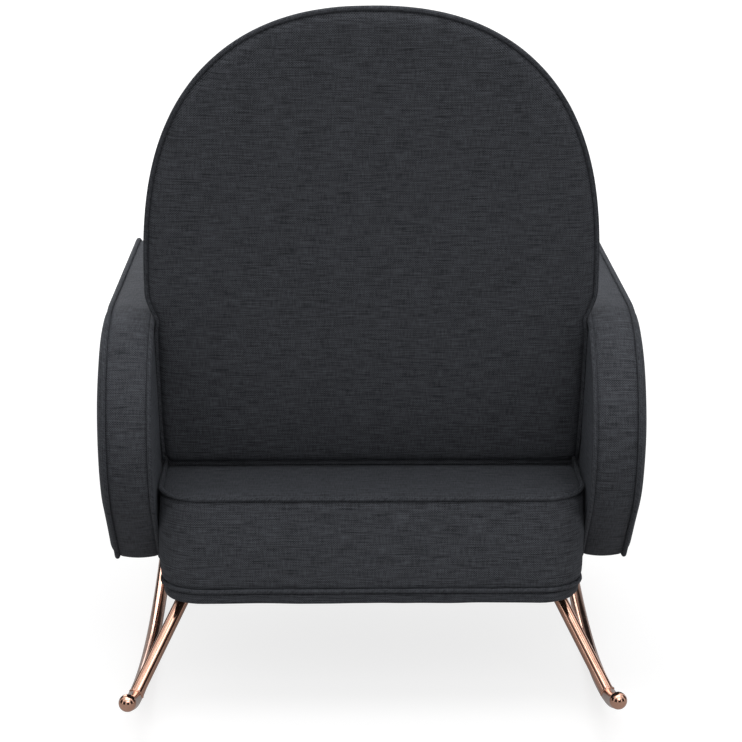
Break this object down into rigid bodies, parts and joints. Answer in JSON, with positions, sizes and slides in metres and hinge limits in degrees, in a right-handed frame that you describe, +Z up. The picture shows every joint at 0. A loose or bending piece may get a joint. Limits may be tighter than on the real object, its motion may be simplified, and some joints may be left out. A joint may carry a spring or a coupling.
{
  "type": "rocking chair",
  "caption": "Upholstered arch-back rocking chair with padded arms, a loose piped seat cushion and two polished metal rockers with ball ends.",
  "frame": {"origin": "on the floor, under the middle of the chair, on the line where the two rockers rest", "axes": "+Z up, the sitter faces -Y, +X is the sitter's left"},
  "size_m": [0.782, 0.8852, 1.0627],
  "materials": {
    "charcoal_cloth": "matte",
    "piping_cloth": "matte",
    "rose_gold": "polished",
    "black_steel": "satin",
    "zinc_steel": "satin",
    "spring_steel": "satin",
    "frame_wood": "matte",
    "dust_cloth": "matte",
    "strap_webbing": "matte",
    "zip_tape": "matte",
    "zip_metal": "satin"
  },
  "bodies": {
    "chair": {"arm_band_left": "charcoal_cloth", "arm_band_right": "charcoal_cloth", "arm_bolts": "zinc_steel", "arm_frame_left": "frame_wood", "arm_frame_right": "frame_wood", "arm_inner_panel_left": "charcoal_cloth", "arm_inner_panel_right": "charcoal_cloth", "arm_outer_panel_left": "charcoal_cloth", "arm_outer_panel_right": "charcoal_cloth", "arm_piping_inner_left": "piping_cloth", "arm_piping_inner_right": "piping_cloth", "arm_piping_outer_left": "piping_cloth", "arm_piping_outer_right": "piping_cloth", "back_border": "charcoal_cloth", "back_frame": "frame_wood", "back_front_pad": "charcoal_cloth", "back_piping": "piping_cloth", "back_post_left": "frame_wood", "back_post_right": "frame_wood", "back_rear_pad": "charcoal_cloth", "back_straps": "strap_webbing", "ball_end_front_left": "rose_gold", "ball_end_front_right": "rose_gold", "ball_end_rear_left": "rose_gold", "ball_end_rear_right": "rose_gold", "base_cover": "charcoal_cloth", "base_cross_rail_front": "frame_wood", "base_cross_rail_rear": "frame_wood", "base_front_board": "frame_wood", "base_lower_roll": "charcoal_cloth", "base_piping_lower": "piping_cloth", "base_piping_upper": "piping_cloth", "base_rear_board": "frame_wood", "base_side_board_left": "frame_wood", "base_side_board_right": "frame_wood", "deck_pad": "charcoal_cloth", "dust_cover": "dust_cloth", "leg_front_left": "rose_gold", "leg_front_right": "rose_gold", "leg_plate_front_left": "black_steel", "leg_plate_front_right": "black_steel", "leg_plate_rear_left": "black_steel", "leg_plate_rear_right": "black_steel", "leg_plate_screws": "zinc_steel", "leg_rear_left": "rose_gold", "leg_rear_right": "rose_gold", "lumbar_rail": "frame_wood", "rocker_rail_left": "rose_gold", "rocker_rail_right": "rose_gold", "seat_spring_1": "spring_steel", "seat_spring_2": "spring_steel", "seat_spring_3": "spring_steel", "seat_spring_4": "spring_steel", "spring_clips": "zinc_steel"},
    "cushion": {"seat_cushion": "charcoal_cloth", "cushion_piping_upper": "piping_cloth", "cushion_piping_lower": "piping_cloth", "cushion_zip": "zip_tape"},
    "zip_slider_body": {"zip_slider": "zip_metal"}
  },
  "joints": [
    {"name": "cushion_lift", "type": "slide", "parent": "chair", "child": "cushion", "axis": [0, 0, 1], "range_m": [0, 0.25]},
    {"name": "zip_slide", "type": "slide", "parent": "cushion", "child": "zip_slider_body", "axis": [1, 0, 0], "range_m": [0, 0.428]}
  ]
}
